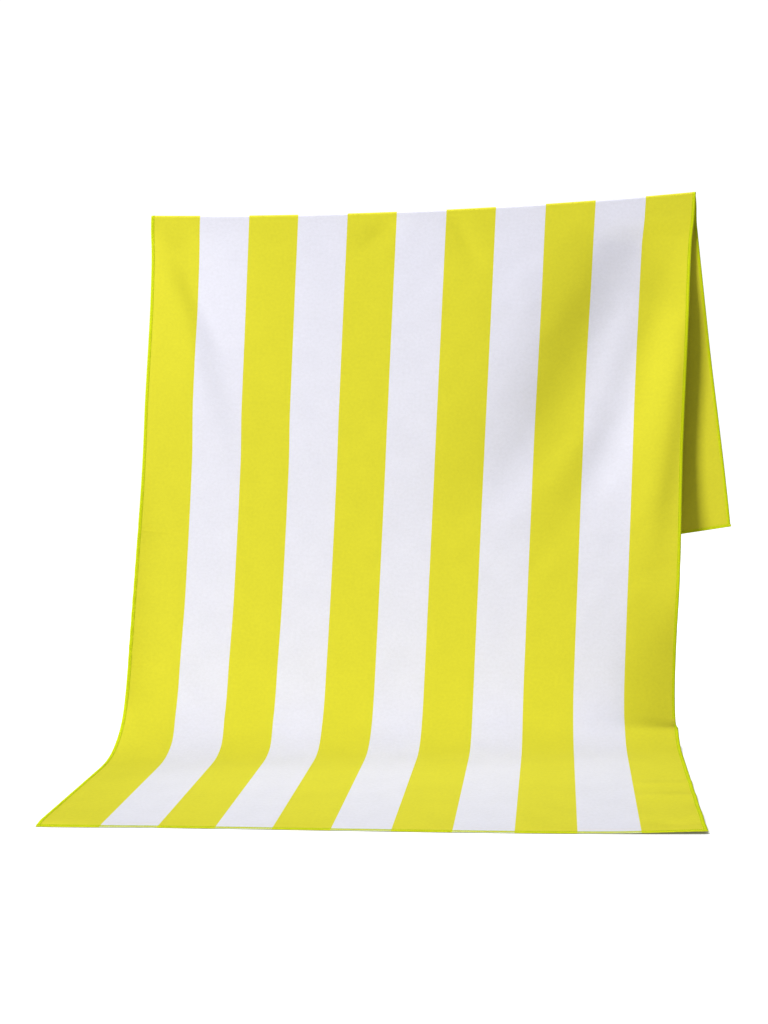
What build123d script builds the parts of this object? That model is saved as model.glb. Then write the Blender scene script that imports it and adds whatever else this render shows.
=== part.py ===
"""Striped beach towel, hung a little askew over a thin rail, its front laid out over the floor.

The towel is one microfibre cloth panel with an overlocked edge. The overlock is three threads along
each of the four sides: a looper thread on the face, a looper thread on the back, and a needle thread
in a line just inside them. The cloth bends only about lines parallel to the rail, so one profile
gives its whole shape: back drop, fold over the rail, front drop, bend and floor run.

A place on the flat towel is (across, along): across from its middle line towards the right edge, and
along from the rail towards the front hem. A height is counted from the middle of the cloth's
thickness towards its face, which is the side seen on the front drop.

Frame: millimetres, +Z up, the front faces -Y. The origin is on the rail's axis, at mid width.
"""

from build123d import *
import os
from math import cos, pi, radians, sin, tan

# The flat towel
towel_width = 900.0
towel_length = 1900.0
cloth_thickness = 1.2

# The overlocked edge
seam_width = 4.0
looper_thickness = 0.5
needle_thread_width = 0.6
needle_thread_height = 0.35

# How the towel hangs: its stripes are skew from square to the rail
rail_radius = 3.0
rail_height = 880.0
back_length = 595.0
skew = radians(4.7)
drop_radius = 3800.0
drop_turn = radians(11.9)

front_length = towel_length - back_length
half_width = towel_width / 2
half_cloth = cloth_thickness / 2
fold_radius = rail_radius + half_cloth

# The drop is a long gentle arc. The bend takes up what height it leaves above the floor run.
floor_run_height = half_cloth - rail_height
bend_radius = (-floor_run_height - drop_radius * sin(drop_turn)) / (1 - sin(drop_turn))
drop_center = Vector(0, -fold_radius - drop_radius, 0)
bend_center_reach = (drop_radius - bend_radius) * cos(drop_turn)
bend_center = Vector(0, drop_center.Y + bend_center_reach, floor_run_height + bend_radius)

# Distances down the profile from the top of the fold, where its stretches meet
fold_end = fold_radius * pi / 2
drop_end = fold_end + drop_radius * drop_turn
bend_end = drop_end + bend_radius * (pi / 2 - drop_turn)

# How many points draw each kind of stretch
straight, arc, slanting_arc = 2, 3, 9


def on_profile(distance, height):
    """The point of the profile at a distance from the top of the fold, raised towards the face."""
    if distance < -fold_end:
        return Vector(0, fold_radius + height, distance + fold_end)
    if distance <= fold_end:
        center, radius = Vector(0, 0, 0), fold_radius + height
        angle = pi / 2 + distance / fold_radius
    elif distance <= drop_end:
        center, radius = drop_center, drop_radius - height
        angle = -(distance - fold_end) / drop_radius
    elif distance <= bend_end:
        center, radius = bend_center, bend_radius - height
        angle = -drop_turn - (distance - drop_end) / bend_radius
    else:
        return Vector(0, bend_center.Y - (distance - bend_end), floor_run_height + height)
    return center + Vector(0, radius * cos(angle), radius * sin(angle))


def on_drape(across, distance, height):
    """Where a line along the towel is, a distance down the profile. It runs square over the rail."""
    past_fold = distance - min(max(distance, -fold_end), fold_end)
    slant = Vector(across / cos(skew) - past_fold * tan(skew), 0, 0)
    return on_profile(distance, height) + slant


def on_towel(across, along, height):
    """Where a place on the flat towel comes to lie."""
    return on_drape(across, across * sin(skew) + along * cos(skew), height)


def line_along(across, start, end, height, points):
    """The edge that a line along the towel makes over one stretch: straight, an arc or a curve."""
    spacing = (end - start) / (points - 1)
    places = [on_drape(across, start + spacing * step, height) for step in range(points)]
    if points == straight:
        return Edge.make_line(*places)
    if points == arc:
        return Edge.make_three_point_arc(*places)
    return Edge.make_spline(places)


def across_line(along, facing):
    """The plane square to the cloth along a line across the towel, near one of its hems."""
    pull = Vector(-sin(skew), -cos(skew), 0) if along > 0 else Vector(-sin(skew), 0, cos(skew))
    return Plane(origin=on_towel(0, along, 0), z_dir=pull * facing)


def panel(left, right, back, front, low, high):
    """The layer of the towel between two lines along it, two lines across it and two heights."""
    overreach = half_width * sin(skew) + seam_width
    start = back * cos(skew) - overreach
    end = front * cos(skew) + overreach
    limits = [start, -fold_end, fold_end, drop_end, bend_end, end]
    kinds = [straight, arc, slanting_arc, slanting_arc, straight]
    along_the_rail = Vector((right - left) / cos(skew), 0, 0)
    stretches = []
    for first, last, kind in zip(limits, limits[1:], kinds):
        upper = line_along(left, first, last, high, kind)
        lower = line_along(left, first, last, low, kind)
        side = Face.make_surface_from_curves(upper, lower)
        stretches.append(Solid.extrude(side, along_the_rail))
    back_drop, *middle, floor_run = stretches
    back_drop = split(back_drop, bisect_by=across_line(back, 1), keep=Keep.TOP)
    floor_run = split(floor_run, bisect_by=across_line(front, -1), keep=Keep.TOP)
    return back_drop.fuse(*middle, floor_run)


def hem_bar(left, right, back, front, low, high):
    """A bar across the towel beside one hem, where the cloth is flat."""
    corners = [(left, back), (right, back), (right, front), (left, front)]
    outline = Wire.make_polygon([on_towel(across, along, low) for across, along in corners], close=True)
    return Solid.extrude(Face(outline), on_towel(0, front, high) - on_towel(0, front, low))


def save(shape, node):
    """Writes one node's STEP file and says how large it is."""
    solids = shape.solids()
    print(f"{node}: {len(solids)} solid(s), {shape.volume / 1000:.2f} cm3")
    shape.label = node
    export_step(shape, f"parts/{node}.step")


os.makedirs("parts", exist_ok=True)
print(f"bend radius {bend_radius:.1f} mm, front drop and bend {bend_end:.1f} mm long")

pinched_back = looper_thickness - half_cloth
cloth_face = panel(-half_width, half_width, -back_length, front_length, pinched_back, half_cloth)
cloth_back = panel(
    seam_width - half_width,
    half_width - seam_width,
    seam_width - back_length,
    front_length - seam_width,
    -half_cloth,
    pinched_back,
)
save(cloth_face.fuse(cloth_back), "towel_cloth")

# Each thread's place across the seam, from the towel's edge inwards, and its heights
threads = {
    "face_looper": (0, seam_width, half_cloth, half_cloth + looper_thickness),
    "back_looper": (0, seam_width, -half_cloth, pinched_back),
    "needle_thread": (
        seam_width,
        seam_width + needle_thread_width,
        half_cloth,
        half_cloth + needle_thread_height,
    ),
}
for thread, (outer, inner, low, high) in threads.items():
    reach_outer, reach_inner = half_width - outer, half_width - inner
    front_outer, front_inner = front_length - outer, front_length - inner
    back_outer, back_inner = outer - back_length, inner - back_length
    save(panel(-reach_outer, -reach_inner, back_inner, front_inner, low, high), f"left_{thread}")
    save(panel(reach_inner, reach_outer, back_inner, front_inner, low, high), f"right_{thread}")
    save(hem_bar(-reach_outer, reach_outer, front_inner, front_outer, low, high), f"front_{thread}")
    save(hem_bar(-reach_outer, reach_outer, back_outer, back_inner, low, high), f"back_{thread}")
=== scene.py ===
# %% [markdown]
# # A striped beach towel over a rail
#
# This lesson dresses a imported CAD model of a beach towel. The towel is one brushed microfibre cloth
# with eleven equal stripes and an overlocked edge. It hangs a little askew over a thin rail, its
# front sweeps down into a bend, and the last third of it lies out on the floor.
#
# The CAD model says where everything is. Here the plain solids are replaced by a cloth with folds,
# stripes and nap, and by sewing threads that have a real stitch. Everything is in metres, with +Z up.
# The origin is on the rail, at the middle of the towel's width, and the front faces -Y.

# %% Load the frame
from math import cos, pi, radians, sin

import bpy
import numpy as np
from mathutils import Matrix, Vector


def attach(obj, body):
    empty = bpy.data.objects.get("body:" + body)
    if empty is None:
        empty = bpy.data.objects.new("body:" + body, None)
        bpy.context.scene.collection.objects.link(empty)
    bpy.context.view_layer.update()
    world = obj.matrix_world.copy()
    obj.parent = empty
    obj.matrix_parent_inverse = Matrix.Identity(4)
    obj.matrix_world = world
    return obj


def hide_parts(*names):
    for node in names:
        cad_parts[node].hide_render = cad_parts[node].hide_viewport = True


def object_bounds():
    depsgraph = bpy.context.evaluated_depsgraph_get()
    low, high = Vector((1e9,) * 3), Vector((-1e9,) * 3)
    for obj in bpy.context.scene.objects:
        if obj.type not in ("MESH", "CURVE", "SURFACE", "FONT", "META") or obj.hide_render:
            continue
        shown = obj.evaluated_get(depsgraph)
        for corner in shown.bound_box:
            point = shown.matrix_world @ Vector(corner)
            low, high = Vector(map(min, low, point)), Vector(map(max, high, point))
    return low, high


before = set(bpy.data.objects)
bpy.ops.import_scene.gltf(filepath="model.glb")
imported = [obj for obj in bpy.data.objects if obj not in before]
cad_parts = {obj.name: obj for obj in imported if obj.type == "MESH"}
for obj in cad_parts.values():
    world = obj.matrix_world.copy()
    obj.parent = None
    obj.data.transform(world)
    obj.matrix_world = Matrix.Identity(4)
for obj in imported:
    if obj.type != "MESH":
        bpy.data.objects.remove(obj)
cad_low, cad_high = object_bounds()
print("the CAD box runs from", tuple(cad_low), "to", tuple(cad_high))

# %% [markdown]
# ## The camera
#
# A camera that looks at cloth from straight ahead hides its folds. This one stands a little to the
# right of the middle, 0.6 m above the floor, and looks slightly down and to the left.
# It is rolled by two degrees, as a camera held by hand is. Three plain turns, one after the other,
# are easier to read than one set of Euler angles.

# %% Camera
camera_place = Vector((0.018, -2.404, -0.278))
camera_turn = Matrix.Rotation(radians(2.39), 4, "Z")
camera_tilt = Matrix.Rotation(radians(90 - 5.44), 4, "X")
camera_roll = Matrix.Rotation(radians(-2.23), 4, "Z")
camera_data = bpy.data.cameras.new("camera")
camera_data.lens = 50.1
camera = bpy.data.objects.new("camera", camera_data)
bpy.context.scene.collection.objects.link(camera)
camera.matrix_world = Matrix.Translation(camera_place) @ camera_turn @ camera_tilt @ camera_roll
bpy.context.scene.camera = camera
print("the camera is", round(camera_place.length, 2), "m from the rail")

# %% [markdown]
# ## The studio
#
# A towel on white is lit by large soft lights and by everything white around it. The side light stands
# far off on the left, about as high as the rail, and slants across the drop, because light that comes
# from the side is what makes a shallow fold show. It only grazes the floor, so a second light hangs
# above and a little behind the rail. It lights the floor run and hardly touches the drop.

# %% Two soft lights
side_light_place = Vector((-7.1, -6.9, 0.2))
side_light_aim = Vector((0.1, -0.1, -0.45))
side_light_size, side_light_watts = 3.0, 1030
side_light_colour = (1.0, 0.985, 0.965)
top_light_place = Vector((-0.2, 0.3, 2.4))
top_light_aim = Vector((0.0, -0.3, -0.9))
top_light_size, top_light_watts = 0.9, 72
top_light_colour = (1.0, 1.0, 1.0)


def add_soft_light(name, place, aim, size, watts, colour):
    """A square area light at a place, turned to a place."""
    data = bpy.data.lights.new(name, "AREA")
    data.shape = "SQUARE"
    data.size = size
    data.energy = watts
    data.color = colour
    light = bpy.data.objects.new(name, data)
    light.location = place
    light.rotation_euler = (aim - place).to_track_quat("-Z", "Y").to_euler()
    bpy.context.scene.collection.objects.link(light)
    print(name, round((aim - place).length, 2), "m from the towel")


add_soft_light("side_light", side_light_place, side_light_aim, side_light_size, side_light_watts,
               side_light_colour)
add_soft_light("top_light", top_light_place, top_light_aim, top_light_size, top_light_watts,
               top_light_colour)

# %% [markdown]
# The white room is the world's own light, which reaches into the shade. It is pure white where the
# camera sees it. Light Path tells it to shine less on the cloth than it shows, so that the folds keep
# their shade.

# %% White room
room_light, room_shown = 0.235, 1.1
room_colour = (0.98, 0.98, 1.0, 1)
room = bpy.data.worlds.new("white_room")
room.use_nodes = True
room_nodes = room.node_tree.nodes
background = room_nodes["Background"]
background.inputs["Color"].default_value = room_colour
seen = room_nodes.new("ShaderNodeLightPath")
brightness = room_nodes.new("ShaderNodeMapRange")
brightness.inputs["To Min"].default_value = room_light
brightness.inputs["To Max"].default_value = room_shown
room.node_tree.links.new(seen.outputs["Is Camera Ray"], brightness.inputs["Value"])
room.node_tree.links.new(brightness.outputs["Result"], background.inputs["Strength"])
bpy.context.scene.world = room
bpy.context.scene.view_settings.view_transform = "Standard"
print("the room shines", room_light, "and shows", room_shown)

# %% [markdown]
# ## The towel laid flat
#
# A cloth is cut flat, and only then hung. So every piece here is first made flat, in three numbers:
# how far across the towel it is, from the middle line; how far along it is, from the rail towards
# the front hem; and how high it is above the middle of the cloth's thickness. One function then
# hangs all of it. A stitch that is drawn on the flat seam follows every fold by itself.

# %% Flat sizes
towel_width = 0.900
towel_length = 1.900
back_length = 0.595
front_length = towel_length - back_length
half_width = towel_width / 2
cloth_thickness = 0.0012
half_cloth = cloth_thickness / 2
seam_width = 0.004
stripes = 11
stripe_width = towel_width / stripes
print("each stripe is", round(stripe_width * 1000, 1), "mm wide")

# %% [markdown]
# ## How it hangs
#
# Seen from the side, the towel is one line that only turns. It turns half round the rail, goes down
# nearly straight, turns through most of a right angle above the floor, and runs out flat. So the
# line is told by its turn at each distance from the rail, and small steps added up give its place.
#
# The bend starts where the line has just enough height left to end on the floor, so that distance
# is found by trying: what is missing in height is added to it a few times.

# %% Profile of one line along the towel
fold_radius = 0.003 + half_cloth
fold_quarter = fold_radius * pi / 2
floor_height = cad_low.z
drop_curl = 0.2526
fold_steps = np.arange(0, fold_quarter, 0.0001)
hang_steps = np.arange(fold_quarter, 1.40, 0.0015)
steps = np.concatenate([fold_steps, hang_steps])


def ease(value):
    """Goes smoothly from 0 to 1 while value does."""
    value = np.clip(value, 0, 1)
    return value * value * (3 - 2 * value)


def added_up(speed):
    """The distance gone at each step, from the speed there."""
    gone = (speed[1:] + speed[:-1]) / 2 * np.diff(steps)
    return np.concatenate([[0], np.cumsum(gone)])


def front_turn(first_turn, bend_place, bend_length):
    """How far the front has turned from straight down towards the viewer, at each step."""
    over_rail = pi / 2 * (1 - steps / fold_quarter)
    hanging = first_turn + drop_curl * (steps - fold_quarter)
    bend = ease((steps - bend_place) / bend_length + 0.5)
    swept = hanging + (pi / 2 - hanging) * bend
    return np.where(steps < fold_quarter, over_rail, swept)


def front_profile(crest, first_turn, bend_length):
    """Depth and height of the front at each step, ending on the floor."""
    bend_place = 0.9
    for _ in range(8):
        turn = front_turn(first_turn, bend_place, bend_length)
        height = crest - added_up(np.cos(turn))
        bend_place += height[-1] - (floor_height + half_cloth)
    return -added_up(np.sin(turn)), height


def back_profile(crest):
    """Depth and height of the back, which hangs straight down."""
    turn = np.where(steps < fold_quarter, pi / 2 * (1 - steps / fold_quarter), 0)
    return added_up(np.sin(turn)), crest - added_up(np.cos(turn))


print("the profiles have", len(steps), "steps")

# %% [markdown]
# ## From flat to hung
#
# The towel is askew: its stripes are 4.7 degrees from square to the rail, and its left side turns a
# little differently from its right side. The rail, a thin line, sags by 11 mm in the middle. Profiles
# are worked out for a row of lines across the towel, once, and a place between them is read off by
# linear interpolation, which is quick enough for half a million points.
#
# Real cloth isn't quite flat either. A sewn edge is stretched outwards where it was pulled, stripes
# beside it are drawn in, and one corner can run further out than the other. These are shifts of a few
# millimetres on the flat towel, made before it is hung.

# %% Hang a place of the flat towel
skew = radians(4.69)
rail_sag = 0.0113
left_first_turn, right_first_turn = radians(-0.65), radians(1.18)
left_bend_length, right_bend_length, extra_left_bend = 0.215, 0.205, 0.035
profile_lines = 47
left_stretch, right_stretch = 0.0060, 0.0035
draw_on_drop, draw_on_floor = 0.0022, 0.0042
right_run_out = 0.011

line_share = np.linspace(0, 1, profile_lines)
crests = fold_radius - rail_sag * (1 - (2 * line_share - 1) ** 2)
first_turns = left_first_turn + (right_first_turn - left_first_turn) * line_share
bend_lengths = left_bend_length + (right_bend_length - left_bend_length) * line_share
bend_lengths += extra_left_bend * ease((0.2 - line_share) / 0.2)
front_lines = np.array([front_profile(*line) for line in zip(crests, first_turns, bend_lengths)])
back_lines = np.array([back_profile(crest) for crest in crests])


def read_off(lines, share, distance):
    """Depth and height between the lines and steps that were worked out."""
    column = np.clip(share, 0, 1) * (profile_lines - 1)
    left = np.minimum(column.astype(int), profile_lines - 2)
    right_part = column - left
    step = np.interp(distance, steps, np.arange(len(steps)))
    before = np.minimum(step.astype(int), len(steps) - 2)
    after_part = step - before
    found = []
    for table in (lines[:, 0], lines[:, 1]):
        on_left = table[left, before] * (1 - after_part) + table[left, before + 1] * after_part
        on_right = table[left + 1, before] * (1 - after_part) + table[left + 1, before + 1] * after_part
        found.append(on_left * (1 - right_part) + on_right * right_part)
    return found


def edge_stretch(across, along):
    """How far the overlocked edges have been pulled outwards, from the middle of the drop on."""
    left = ease((-across - 0.36) / 0.10) * ease((along - 0.40) / 0.42)
    right = ease((across - 0.34) / 0.12) * ease((along - 0.34) / 0.26)
    return right_stretch * right - left_stretch * left


def drawn_in(across, along):
    """How far the second and third stripe from the left are drawn inwards."""
    stripes_there = ease((-across - 0.05) / 0.20) * (1 - ease((-across - 0.37) / 0.08))
    on_drop = draw_on_drop * ease((along - 0.34) / 0.10) * ease((0.80 - along) / 0.14)
    on_floor = draw_on_floor * ease((along - 0.86) / 0.07)
    return stripes_there * (on_drop + on_floor)


def run_out(across, along):
    """How much further the right half of the front runs out on the floor."""
    return right_run_out * ease((across + 0.2) / 0.6) * ease((along - 0.9) / 0.4)


def hang_smooth(across, along):
    """Where a place on the middle of the cloth hangs, before it has any folds."""
    share = across / towel_width + 0.5
    along = along + run_out(across, along)
    across = across + edge_stretch(across, along) + drawn_in(across, along)
    distance = across * sin(skew) + along * cos(skew)
    front_depth, front_height = read_off(front_lines, share, distance)
    back_depth, back_height = read_off(back_lines, share, -distance)
    depth = np.where(distance > 0, front_depth, back_depth)
    height = np.where(distance > 0, front_height, back_height)
    return np.stack([across * cos(skew) - along * sin(skew), depth, height], axis=-1)


hem_middle = hang_smooth(np.zeros(1), np.full(1, front_length))[0]
print("the front hem ends", round(float(-hem_middle[1]), 3), "m in front of the rail")

# %% [markdown]
# ## Folds
#
# A towel that was unfolded and thrown over a rail keeps soft folds. Most of them are pull folds: they
# start where the cloth is held, at the ends of the rail, and fan out downwards until they fade. A
# cloth simulation can make such folds too, but it settles for itself where they go. These have to be
# in set places, so they are listed one by one, and no simulation is run.
#
# Each fold is a ridge, or a valley where its height is negative, along a curved path drawn through a
# few places. It has the cross-section of a bell curve, and it fades in and out along its path. All
# sizes in the list are millimetres on the flat towel.

# %% One soft fold
mm = 0.001


def soft_fold(across, along, path, widths, height, fades):
    """How far one fold lifts the cloth towards its face. Its left and right flanks differ in width."""
    path_across, path_along = np.array(path).T * mm
    first, last = path_along[0], path_along[-1]
    route = np.polynomial.Polynomial.fit(path_along, path_across, min(len(path) - 1, 3))
    place = np.clip(along, first, last)
    off = (across - route(place)) / np.sqrt(1 + route.deriv()(place) ** 2)
    off /= np.where(off < 0, widths[0], widths[1]) * mm
    fade_in, fade_out = fades[0] * mm, fades[1] * mm
    strength = ease((along - first) / fade_in) * ease((last - along) / fade_out)
    return height * mm * strength * np.exp(-(off**2) / 2)


middle_fold = soft_fold(np.zeros(1), np.full(1, 0.1), [(0, 0), (0, 200)], (40, 40), 10.0, (50, 50))
print("a 10 mm fold lifts its middle by", round(float(middle_fold[0]) / mm, 1), "mm")

# %% [markdown]
# The front has one main valley, which runs down from the right end of the rail, with ridges and a
# second valley beside it. Where the front is pressed back by a fold, the back drop behind it has to
# give way too, or the two layers would meet. Its folds are measured along the back, from the rail.

# %% Folds of the front
front_folds = {
    "swell under the rail": (
        [(335, 0), (270, 80), (208, 180), (138, 370), (0, 540)], (420, 50), 10.0, (170, 330)),
    "shoulder of the swell": (
        [(220, 0), (190, 100), (150, 240), (90, 420), (0, 560)], (170, 90), 4.0, (170, 300)),
    "pull from the right end": (
        [(415, 0), (366, 90), (296, 225), (214, 380), (50, 570)], (58, 66), -19.0, (50, 300)),
    "ridge beside the pull": (
        [(415, 60), (352, 200), (302, 330), (246, 430), (60, 590)], (22, 20), 3.0, (90, 160)),
    "second pull": (
        [(436, 40), (392, 180), (348, 340), (285, 480), (225, 600)], (28, 28), -6.5, (80, 200)),
    "ridge down the right side": (
        [(440, 60), (432, 250), (414, 420), (390, 620)], (26, 15), 5.5, (170, 180)),
    "lower right corner falls away": ([(600, 580), (530, 710), (488, 856)], (70, 60), -33.0, (120, 34)),
    "left end lies back": ([(-530, 0), (-527, 120), (-515, 380)], (60, 110), -28.0, (130, 230)),
    "pull from the left end": (
        [(-446, 30), (-404, 180), (-352, 330), (-300, 520)], (64, 22), 6.0, (40, 320)),
    "crease beside the left pull": ([(-426, 80), (-368, 182), (-298, 300)], (12, 10), -1.4, (40, 110)),
    "left edge curls forward": ([(-466, 430), (-464, 640), (-466, 900)], (14, 19), 5.0, (150, 60)),
    "left edge off the floor": ([(-455, 850), (-455, 1000), (-455, 1306)], (40, 44), 3.0, (90, 20)),
    "right corner off the floor": ([(460, 1185), (460, 1320)], (60, 40), 2.8, (60, 10)),
}
back_folds = {
    "pushed back by the right pull": (
        [(415, 0), (370, 90), (300, 225), (216, 380), (100, 570)], (70, 150), 17.0, (75, 300)),
    "pushed back by the left end": (
        [(-480, -20), (-475, 120), (-470, 420)], (60, 200), 23.0, (140, 230)),
    "right side hangs forward": ([(470, 280), (474, 400), (476, 640)], (120, 60), -17.0, (300, 10)),
    "soft fold left": ([(-300, 60), (-270, 300), (-290, 600)], (70, 60), 6.0, (160, 10)),
    "soft fold middle": ([(-40, 60), (10, 300), (30, 600)], (60, 80), 4.0, (160, 10)),
    "soft fold right": ([(250, 160), (236, 380), (210, 600)], (60, 50), 5.0, (160, 10)),
}
print(len(front_folds), "folds on the front and", len(back_folds), "on the back")

# %% [markdown]
# Four smaller things lie over the big folds. Pinches are short and start right on the rail. Creases
# and ripples run across the towel, so their paths are turned round: along first, then across. Small
# wrinkles are a sum of many faint waves with random lengths and headings, made from a fixed seed. The
# puckers beside the left seam are one short wave.

# %% Pinches, creases, puckers and small wrinkles
pinches = {
    "pinch in the middle of the rail": ([(-36, 2), (-70, 42), (-116, 100)], (10, 14), -3.2, (8, 70)),
    "pinch right of the middle": ([(52, 6), (76, 50), (96, 110)], (10, 9), -1.4, (16, 60)),
}
crossing_creases = {
    "crease at the left edge": ([(565, -455), (566, -420), (563, -366)], (4, 5), -1.5, (4, 40)),
    "lower crease at the left edge": ([(794, -455), (793, -425), (796, -392)], (4, 5), -1.3, (4, 30)),
    "first ripple at the right edge": ([(590, 380), (586, 430), (585, 470)], (9, 6), -2.0, (30, 5)),
    "ripple behind the right corner": ([(1088, 360), (1092, 400), (1086, 460)], (9, 11), 1.8, (40, 5)),
    "ripple at the right corner": ([(1150, 350), (1146, 400), (1152, 460)], (8, 14), 2.2, (50, 5)),
    "ripple near the right corner": ([(1268, 366), (1272, 420), (1266, 460)], (10, 8), -1.8, (40, 5)),
}
pucker_height, pucker_length = 0.0008, 0.026
wrinkle_seed, wrinkle_count, wrinkle_slope = 7, 26, 0.0055
wrinkles_on_left = 0.25
chance = np.random.default_rng(wrinkle_seed)
wrinkle_lengths = chance.uniform(0.030, 0.095, wrinkle_count)
wrinkle_headings = chance.normal(radians(38), radians(11), wrinkle_count)
wrinkle_starts = chance.uniform(0, 2 * pi, wrinkle_count)


def small_wrinkles(across, along):
    """Many faint waves that run the way the right end pulls, strongest in the upper right."""
    total = np.zeros_like(across)
    for length, heading, start in zip(wrinkle_lengths, wrinkle_headings, wrinkle_starts):
        wave_number = 2 * pi / length
        off = across * cos(heading) + along * sin(heading)
        total += wrinkle_slope / wave_number * np.sin(wave_number * off + start)
    towards_right = wrinkles_on_left + (1 - wrinkles_on_left) * ease((across + 0.25) / 0.5)
    on_drop = ease(along / 0.05) * ease((0.86 - along) / 0.25)
    return total * towards_right * on_drop


def edge_puckers(across, along):
    """Small puckers low on the left edge, where the seam is drawn tighter than the cloth."""
    near_edge = ease((-across - 0.415) / 0.035)
    on_drop = ease((along - 0.58) / 0.04) * ease((0.80 - along) / 0.04)
    return pucker_height * np.sin(2 * pi * along / pucker_length) * near_edge * on_drop


def folds(across, along):
    """How far all folds lift the cloth towards its face. They end where it lies on the rail."""
    from_rail = np.abs(across * sin(skew) + along * cos(skew)) - 2 * fold_quarter
    total = small_wrinkles(across, along) + edge_puckers(across, along)
    for path, widths, height, fades in front_folds.values():
        total += soft_fold(across, along, path, widths, height, fades)
    for path, widths, height, fades in back_folds.values():
        total += soft_fold(across, -along, path, widths, height, fades)
    total *= ease(from_rail / 0.045)
    for path, widths, height, fades in pinches.values():
        total += soft_fold(across, along, path, widths, height, fades) * ease(from_rail / 0.012)
    for path, widths, height, fades in crossing_creases.values():
        total += soft_fold(along, across, path, widths, height, fades)
    return total


print(len(pinches), "pinches,", len(crossing_creases), "creases,", wrinkle_count, "small waves")

# %% [markdown]
# ## The height of a point
#
# A point of the flat towel is lifted along the cloth's own normal: first by the folds, then by its
# height in the thickness of the cloth. The normal comes from two short steps on the hung surface,
# one across and one along.

# %% Hang anything
probe = 0.0008


def hang_middle(across, along):
    """A place on the middle of the cloth, with its folds."""
    smooth = hang_smooth(across, along)
    return smooth + smooth_normal(across, along) * folds(across, along)[..., None]


def normal_of(surface, across, along):
    """The direction that the face looks in, at a place on a surface."""
    step_across = surface(across + probe, along) - surface(across - probe, along)
    step_along = surface(across, along + probe) - surface(across, along - probe)
    normal = np.cross(step_along, step_across)
    return normal / np.linalg.norm(normal, axis=-1, keepdims=True)


def smooth_normal(across, along):
    """The direction that the face looks in, before it has any folds."""
    return normal_of(hang_smooth, across, along)


def hang(flat_points):
    """Hangs points given as across, along and height."""
    across, along, height = np.asarray(flat_points).T
    normal = normal_of(hang_middle, across, along)
    return hang_middle(across, along) + normal * height[:, None]


first_corner = hang([(-half_width, front_length, 0)])[0]
print("the front left corner hangs at", tuple(first_corner.round(3).tolist()))

# %% [markdown]
# ## The cloth
#
# The cloth is a grid of quads over the flat towel, hung by the function above. The grid is finer
# where the cloth turns tightly over the rail, beside the seams and at the two creases. The rows are
# sheared near the rail, so that they run along it and not square to the stripes.
#
# A Solidify modifier gives the cloth its thickness, and a vertex group thins it under the seam, where
# the thread pinches it. The flat place of each corner is kept as its UV, in metres, so that stripes
# and nap can be drawn to scale.

# %% Grid over the flat towel
seam_columns = np.array([0, 0.0015, 0.003, 0.0042, 0.0058, 0.009])
seam_reach = 0.0145
inner_columns = np.linspace(seam_reach, towel_width - seam_reach, 124)
columns = np.concatenate([seam_columns, inner_columns, towel_width - seam_columns[::-1]]) - half_width
fold_reach, after_fold = 0.011, 0.006
back_rows = np.linspace(-back_length + seam_reach, -fold_reach - after_fold, 78)
fold_rows = np.linspace(-fold_reach, fold_reach, 25)
front_rows = np.linspace(fold_reach + after_fold, front_length - seam_reach, 196)
crease_rows = np.arange(-0.0125, 0.0126, 0.0025)
upper_crease, lower_crease = 0.5655, 0.7935
front_rows = np.concatenate([front_rows, upper_crease + crease_rows, lower_crease + crease_rows])
front_rows = np.unique(front_rows.round(5))
rows = np.concatenate([seam_columns - back_length, back_rows, fold_rows, front_rows,
                       front_length - seam_columns[::-1]])
print(len(columns), "by", len(rows), "places on the cloth")


def slanted(across, along):
    """Shears the rows near the fold, so that they run along the rail and not square to the stripes."""
    nearness = 1 - ease((np.abs(along) - 0.03) / 0.30)
    return along - across * np.tan(skew) * nearness


def add_piece(name, points, faces, smooth=True):
    """A mesh object of that name, in the scene."""
    mesh = bpy.data.meshes.new(name)
    mesh.from_pydata(points.tolist(), [], faces)
    mesh.polygons.foreach_set("use_smooth", [smooth] * len(mesh.polygons))
    mesh.update()
    piece = bpy.data.objects.new(name, mesh)
    bpy.context.scene.collection.objects.link(piece)
    return piece


def keep_flat_places(piece, flat_points):
    """Stores each vertex's place across and along the flat towel as its UV, in metres."""
    corners = np.zeros(len(piece.data.loops), int)
    piece.data.loops.foreach_get("vertex_index", corners)
    layer = piece.data.uv_layers.new(name="flat_place")
    layer.data.foreach_set("uv", np.asarray(flat_points)[corners, :2].ravel())


# %% Cloth mesh
grid_across, grid_along = np.meshgrid(columns, rows)
grid_along = slanted(grid_across, grid_along)
cloth_flat = np.stack([grid_across.ravel(), grid_along.ravel(), np.zeros(grid_across.size)], axis=-1)
cloth_faces = []
for row in range(len(rows) - 1):
    for column in range(len(columns) - 1):
        corner = row * len(columns) + column
        cloth_faces.append((corner, corner + len(columns), corner + len(columns) + 1, corner + 1))
cloth = add_piece("striped_cloth", hang(cloth_flat), cloth_faces)
keep_flat_places(cloth, cloth_flat)

edge_distance = np.minimum(half_width - np.abs(cloth_flat[:, 0]),
                           np.minimum(cloth_flat[:, 1] + back_length, front_length - cloth_flat[:, 1]))
pinched_share, pinched_reach = 0.5, 1.4 * seam_width
pinch = pinched_share + (1 - pinched_share) * ease(edge_distance / pinched_reach)
full_cloth = cloth.vertex_groups.new(name="full_cloth")
for vertex, share in enumerate(pinch):
    full_cloth.add([vertex], float(share), "REPLACE")
thickness = cloth.modifiers.new("thickness", "SOLIDIFY")
thickness.thickness = cloth_thickness
thickness.offset = 0
thickness.vertex_group = "full_cloth"
thickness.use_even_offset = True
print("cloth:", len(cloth.data.polygons), "quads")

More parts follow.
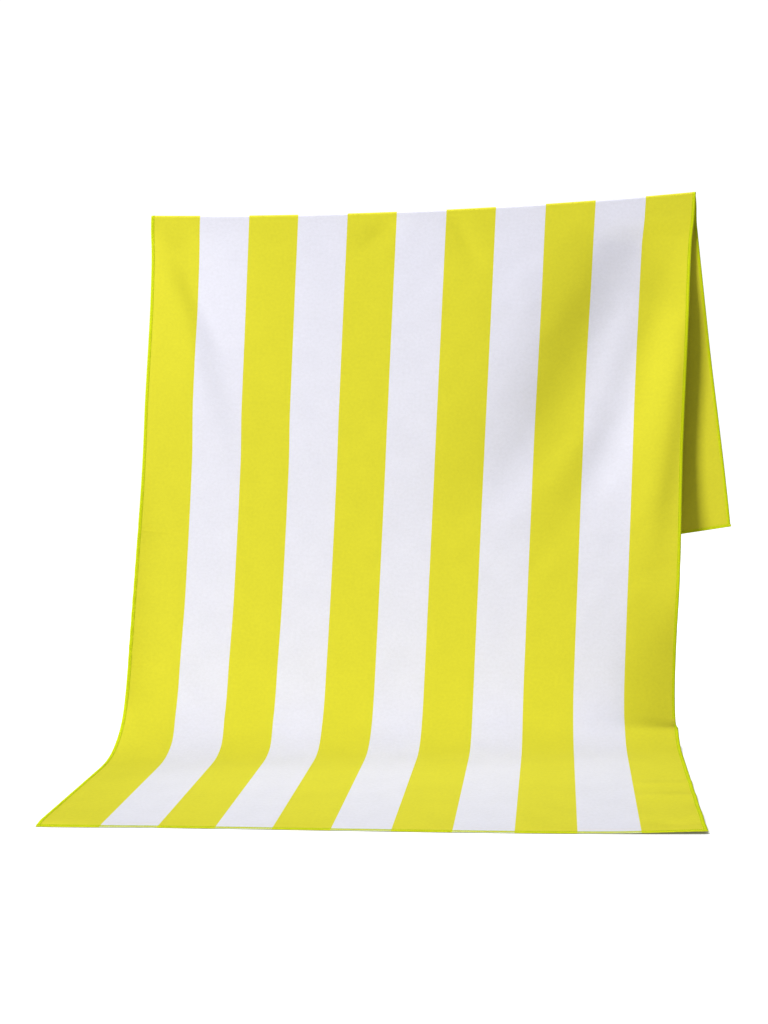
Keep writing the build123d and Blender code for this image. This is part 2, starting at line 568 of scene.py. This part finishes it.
# %% [markdown]
# ## The overlocked edge
#
# The edge is finished on an overlock machine with three threads. One looper thread lies on the face
# and one on the back. Each zigzags between the needle line and the cut edge, and the two hook into
# each other round the edge. The needle thread is a row of short stitches that holds both down. The
# looper threads are a fluffy, flattened yarn, which closes over the edge.
#
# A stitch is drawn once, as a few points: how far along the seam in stitches, how far in from the
# edge, and how high. It is repeated along a side, given a flattened round section, and hung.

# %% A row of stitches as a tube
stitch_length = 0.0023
yarn_sides = 6


def stitch_row(stitch, side_length):
    """One stitch repeated along a side: points of distance along, distance in and height."""
    stitch = np.array(stitch)
    count = round(side_length / stitch_length)
    starts = np.repeat(np.arange(count), len(stitch))
    row = np.tile(stitch, (count, 1))
    row[:, 0] = (row[:, 0] + starts) * side_length / count
    return row


def yarn_tube(route, width, thickness):
    """Ring after ring of points round a flattened yarn, and the faces between them."""
    ahead = np.gradient(route, axis=0)
    ahead /= np.linalg.norm(ahead, axis=1, keepdims=True)
    sideways = np.cross(ahead, np.array([0, 0, 1]))
    sideways /= np.linalg.norm(sideways, axis=1, keepdims=True)
    upward = np.cross(sideways, ahead)
    rings = []
    for side in range(yarn_sides):
        angle = 2 * pi * side / yarn_sides
        rings.append(route + sideways * cos(angle) * width / 2 + upward * sin(angle) * thickness / 2)
    points = np.stack(rings, axis=1).reshape(-1, 3)
    faces = []
    for ring in range(len(route) - 1):
        for side in range(yarn_sides):
            here = ring * yarn_sides
            beside = (side + 1) % yarn_sides
            ahead_of = here + yarn_sides
            faces.append((here + side, here + beside, ahead_of + beside, ahead_of + side))
    last_ring = (len(route) - 1) * yarn_sides
    faces.append(tuple(reversed(range(yarn_sides))))
    faces.append(tuple(range(last_ring, last_ring + yarn_sides)))
    return points, faces


print("a yarn has", yarn_sides, "sides and a stitch every", stitch_length * 1000, "mm")

# %% [markdown]
# The four sides differ only in where their seam starts and which way it runs. The side seams stop
# where the hem seams begin, so that the threads don't lie in each other at the corners. The needle
# thread is wider than a real one, because it stands for the dark row of holes that it is sewn in: that
# dark row is painted shade, the shade in the groove along the needle line.

# %% The four sides
sides = {
    "left": (towel_length - 2 * seam_width,
             lambda along, inward: (inward - half_width, along + seam_width - back_length)),
    "right": (towel_length - 2 * seam_width,
              lambda along, inward: (half_width - inward, along + seam_width - back_length)),
    "front": (towel_width, lambda along, inward: (along - half_width, front_length - inward)),
    "back": (towel_width, lambda along, inward: (along - half_width, inward - back_length)),
}

looper_width, looper_thickness = 0.00120, 0.00036
face_looper_stitch = [
    (0.00, 0.0054, half_cloth),
    (0.12, 0.0038, half_cloth + 0.00008),
    (0.30, 0.0013, half_cloth),
    (0.44, 0.0001, half_cloth * 0.5),
    (0.56, 0.0001, half_cloth * 0.5),
    (0.70, 0.0013, half_cloth),
    (0.88, 0.0038, half_cloth + 0.00008),
]
back_looper_stitch = [(place + 0.5, inward, -height) for place, inward, height in face_looper_stitch]
# The needle thread is made wide, so that it carries the painted shade of its groove.
needle_width, needle_thickness = 0.0010, 0.0003
needle_line = 0.0050
needle_stitch = [
    (0.00, needle_line, half_cloth - 0.00030),
    (0.14, needle_line, half_cloth),
    (0.40, needle_line, half_cloth + 0.00012),
    (0.60, needle_line, half_cloth + 0.00012),
    (0.86, needle_line, half_cloth),
]
threads = {
    "face_looper": (face_looper_stitch, looper_width, looper_thickness),
    "back_looper": (back_looper_stitch, looper_width, looper_thickness),
    "needle_thread": (needle_stitch, needle_width, needle_thickness),
}


def sew(side, thread):
    """One thread of one side, as a piece of its own."""
    side_length, place_on_towel = sides[side]
    stitch, width, thickness = threads[thread]
    route = stitch_row(stitch, side_length)
    across, along = place_on_towel(route[:, 0], route[:, 1])
    flat_route = np.stack([across, along, route[:, 2]], axis=-1)
    flat_tube, faces = yarn_tube(flat_route, width, thickness)
    piece = add_piece(f"{side}_{thread}_yarn", hang(flat_tube), faces)
    keep_flat_places(piece, flat_tube)
    return piece


sewn = {f"{side}_{thread}": sew(side, thread) for side in sides for thread in threads}
for node, piece in sewn.items():
    print(node, len(piece.data.polygons), "faces")

# %% [markdown]
# ## Fibre grain
#
# Cloth and thread are spun from the same kind of fibre, so both materials share one node group. It
# stretches fine noise along the fibres, and gives two values that change over the surface: a shade,
# for the colour, and a height, for the bump.

# %% Fibre grain group
fibre_grain = bpy.data.node_groups.new("fibre_grain", "ShaderNodeTree")
fibre_grain.interface.new_socket("Place", in_out="INPUT", socket_type="NodeSocketVector")
grain_scale = fibre_grain.interface.new_socket("Fineness", in_out="INPUT", socket_type="NodeSocketFloat")
grain_scale.default_value = 1500
fibre_grain.interface.new_socket("Shade", in_out="OUTPUT", socket_type="NodeSocketFloat")
fibre_grain.interface.new_socket("Height", in_out="OUTPUT", socket_type="NodeSocketFloat")


def build_fibre_grain(tree):
    """Fine noise, drawn out along the fibres, over a coarser one for clumps."""
    given = tree.nodes.new("NodeGroupInput")
    result = tree.nodes.new("NodeGroupOutput")
    stretch = tree.nodes.new("ShaderNodeVectorMath")
    stretch.operation = "MULTIPLY"
    stretch.inputs[1].default_value = (1.0, 0.35, 1.0)
    fine = tree.nodes.new("ShaderNodeTexNoise")
    fine.inputs["Detail"].default_value = 3
    clumps = tree.nodes.new("ShaderNodeTexNoise")
    clumps.inputs["Detail"].default_value = 4
    clump_scale = tree.nodes.new("ShaderNodeMath")
    clump_scale.operation = "MULTIPLY"
    clump_scale.inputs[1].default_value = 0.12
    both = tree.nodes.new("ShaderNodeMix")
    both.inputs["Factor"].default_value = 0.45
    link = tree.links.new
    link(given.outputs["Place"], stretch.inputs[0])
    link(stretch.outputs["Vector"], fine.inputs["Vector"])
    link(given.outputs["Fineness"], fine.inputs["Scale"])
    link(given.outputs["Place"], clumps.inputs["Vector"])
    link(given.outputs["Fineness"], clump_scale.inputs[0])
    link(clump_scale.outputs["Value"], clumps.inputs["Scale"])
    link(fine.outputs["Fac"], both.inputs["A"])
    link(clumps.outputs["Fac"], both.inputs["B"])
    link(both.outputs["Result"], result.inputs["Shade"])
    link(fine.outputs["Fac"], result.inputs["Height"])


build_fibre_grain(fibre_grain)
print("fibre grain:", len(fibre_grain.nodes), "nodes")

# %% [markdown]
# ## The striped cloth
#
# Brushed microfibre is matt: it has a faint, broad gloss and next to no sheen. The dye is printed in
# eleven stripes, whose edges are sharp but follow the nap by a few tenths of a millimetre. The nap also
# lies one way here and another way there, which shows as soft cloudy patches. Under the nap is a fine
# knit, seen as bump.
#
# Both materials need the same few steps, so each step has a small helper of its own.

# %% Helpers for materials
def new_material(name):
    """An empty material with a Principled shader, and short names for its parts."""
    material = bpy.data.materials.new(name)
    material.use_nodes = True
    tree = material.node_tree
    return material, tree, tree.nodes["Principled BSDF"]


def math_node(tree, operation, first, second=None):
    """A Math node on one or two values, each a socket or a number."""
    node = tree.nodes.new("ShaderNodeMath")
    node.operation = operation
    for socket, value in zip(node.inputs, (first, second)):
        if isinstance(value, bpy.types.NodeSocket):
            tree.links.new(value, socket)
        elif value is not None:
            socket.default_value = value
    return node.outputs["Value"]


def noise(tree, place, scale, detail=2.0):
    """The value of a noise texture over the flat towel."""
    node = tree.nodes.new("ShaderNodeTexNoise")
    node.inputs["Scale"].default_value = scale
    node.inputs["Detail"].default_value = detail
    tree.links.new(place, node.inputs["Vector"])
    return node.outputs["Fac"]


def mixed(tree, share, first, second):
    """A colour between two colours, each a socket or four numbers."""
    node = tree.nodes.new("ShaderNodeMix")
    node.data_type = "RGBA"
    sockets = (node.inputs["Factor"], node.inputs[6], node.inputs[7])
    for socket, value in zip(sockets, (share, first, second)):
        if isinstance(value, bpy.types.NodeSocket):
            tree.links.new(value, socket)
        else:
            socket.default_value = value
    return node.outputs[2]


def grain_of(tree, place, fineness):
    """The fibre grain group, placed in a material."""
    node = tree.nodes.new("ShaderNodeGroup")
    node.node_tree = fibre_grain
    node.inputs["Fineness"].default_value = fineness
    tree.links.new(place, node.inputs["Place"])
    return node


def ranged(tree, value, low, high, to_low=0.0, to_high=1.0):
    """A value stretched from one range to another."""
    node = tree.nodes.new("ShaderNodeMapRange")
    for socket, number in zip(("From Min", "From Max", "To Min", "To Max"), (low, high, to_low, to_high)):
        node.inputs[socket].default_value = number
    tree.links.new(value, node.inputs["Value"])
    return node.outputs["Result"]


def shaded(tree, colour, shade):
    """A colour, as a socket or three numbers, made lighter or darker by a shade."""
    node = tree.nodes.new("ShaderNodeVectorMath")
    node.operation = "SCALE"
    if isinstance(colour, bpy.types.NodeSocket):
        tree.links.new(colour, node.inputs[0])
    else:
        node.inputs[0].default_value = colour
    tree.links.new(shade, node.inputs["Scale"])
    return node.outputs["Vector"]


def relief(tree, height, strength, distance):
    """The normal that a height gives the surface."""
    node = tree.nodes.new("ShaderNodeBump")
    node.inputs["Strength"].default_value = strength
    node.inputs["Distance"].default_value = distance
    tree.links.new(height, node.inputs["Height"])
    return node.outputs["Normal"]


print("the helpers for materials are ready")

# %% Striped cloth material
lime = (0.712, 0.676, 0.034, 1)
white = (0.770, 0.775, 0.885, 1)
cloth_material, tree, shader = new_material("striped_microfibre")
flat_place = tree.nodes.new("ShaderNodeUVMap")
flat_place.uv_map = "flat_place"
place = flat_place.outputs["UV"]
across = tree.nodes.new("ShaderNodeSeparateXYZ")
tree.links.new(place, across.inputs["Vector"])

# Which stripe: how many stripe widths from the left edge, with a wavering edge, odd or even
stripe_waver = 0.0008
waver = math_node(tree, "SUBTRACT", noise(tree, place, 900), 0.5)
waver = math_node(tree, "MULTIPLY", waver, stripe_waver)
from_left = math_node(tree, "ADD", math_node(tree, "ADD", across.outputs["X"], half_width), waver)
in_stripes = math_node(tree, "DIVIDE", from_left, stripe_width)
pair = math_node(tree, "PINGPONG", math_node(tree, "SUBTRACT", in_stripes, 0.5), 1.0)
striped = mixed(tree, ranged(tree, pair, 0.497, 0.503), lime, white)

# The nap: cloudy patches a few centimetres wide, and the grain of the fibres
grain = grain_of(tree, place, 1700)
cloudy = ranged(tree, noise(tree, place, 22, 3.0), 0.3, 0.7, 0.98, 1.01)
fibres = ranged(tree, grain.outputs["Shade"], 0.3, 0.7, 0.93, 1.05)
nap = math_node(tree, "MULTIPLY", cloudy, fibres)
tree.links.new(shaded(tree, striped, nap), shader.inputs["Base Color"])

# Roughness and the relief of the knit
roughness = ranged(tree, grain.outputs["Shade"], 0.0, 1.0, 0.82, 0.96)
tree.links.new(roughness, shader.inputs["Roughness"])
tree.links.new(relief(tree, grain.outputs["Height"], 0.35, 0.0004), shader.inputs["Normal"])
shader.inputs["Specular IOR Level"].default_value = 0.14
shader.inputs["Sheen Weight"].default_value = 0.01
shader.inputs["Sheen Roughness"].default_value = 0.5
print("striped cloth:", len(tree.nodes), "nodes")

# %% [markdown]
# ## The threads
#
# The yarn is dyed a greener lime than the cloth, and is as matt. The same fibre grain runs along it,
# finer than on the cloth. The needle thread is coloured darker than the loopers as painted shade, for
# the shade where it is pulled down into the cloth.

# %% Thread materials
def thread_material(name, colour, fineness):
    """A dyed yarn: fibre grain in its colour and its bump."""
    material, tree, shader = new_material(name)
    flat = tree.nodes.new("ShaderNodeUVMap")
    flat.uv_map = "flat_place"
    grain = grain_of(tree, flat.outputs["UV"], fineness)
    shade = ranged(tree, grain.outputs["Shade"], 0.3, 0.7, 0.82, 1.08)
    tree.links.new(shaded(tree, colour, shade), shader.inputs["Base Color"])
    tree.links.new(relief(tree, grain.outputs["Height"], 0.5, 0.0002), shader.inputs["Normal"])
    shader.inputs["Roughness"].default_value = 0.8
    shader.inputs["Specular IOR Level"].default_value = 0.12
    print(name, "has", len(tree.nodes), "nodes")
    return material


looper_material = thread_material("looper_yarn", (0.68, 0.79, 0.004), 3200)
# The needle yarn's darker colour is painted shade of the groove that it is pulled into.
needle_painted_shade_material = thread_material("needle_yarn_painted_shade", (0.48, 0.56, 0.003), 4200)
cloth.data.materials.append(cloth_material)
for node, piece in sewn.items():
    piece.data.materials.append(needle_painted_shade_material if node.endswith("needle_thread") else looper_material)

# %% [markdown]
# ## The floor
#
# A plain pale floor, wide enough to fill the view. It lies just under the towel. It glows white where
# the camera sees it, so that it melts into the room, and an Ambient Occlusion node takes the glow away
# close under the cloth. That is a painted shadow: a thin dark line where a corner is lifted off the
# floor.

# %% Floor
floor_reach = 6.0
floor_gap = 0.0004
floor_colour = (0.62, 0.62, 0.63, 1)
floor_glow = 0.92
painted_shadow_reach, painted_shadow_sharpness = 0.010, 4.0
floor_corners = np.array([(-1, -1), (1, -1), (1, 1), (-1, 1)]) * floor_reach
floor_points = np.column_stack([floor_corners, np.full(4, floor_height - floor_gap)])
floor = add_piece("floor", floor_points, [(0, 1, 2, 3)], smooth=False)
floor_material, tree, shader = new_material("pale_floor_painted_shadow")
shader.inputs["Base Color"].default_value = floor_colour
shader.inputs["Roughness"].default_value = 0.9
shader.inputs["Emission Color"].default_value = (1, 1, 1, 1)
seen = tree.nodes.new("ShaderNodeLightPath")
# Painted shadow: Ambient Occlusion takes the glow away close under the cloth, a dark line under a lifted
# hem.
painted_shadow_occlusion = tree.nodes.new("ShaderNodeAmbientOcclusion")
painted_shadow_occlusion.inputs["Distance"].default_value = painted_shadow_reach
painted_shadow_occlusion.samples = 8
open_floor = math_node(tree, "POWER", painted_shadow_occlusion.outputs["AO"], painted_shadow_sharpness)
glow_with_painted_shadow = math_node(tree, "MULTIPLY", open_floor, floor_glow)
glow = math_node(tree, "MULTIPLY", seen.outputs["Is Camera Ray"], glow_with_painted_shadow)
tree.links.new(glow, shader.inputs["Emission Strength"])
floor.data.materials.append(floor_material)
print("the floor lies", round(floor_gap * 1000, 1), "mm under the towel")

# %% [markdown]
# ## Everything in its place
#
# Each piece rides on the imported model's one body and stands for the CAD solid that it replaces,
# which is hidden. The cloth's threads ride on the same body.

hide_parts("towel_cloth")
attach(cloth, "root")
for node, piece in sewn.items():
    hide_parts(node)
    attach(piece, "root")
print(len(sewn) + 1, "pieces ride on the body root")
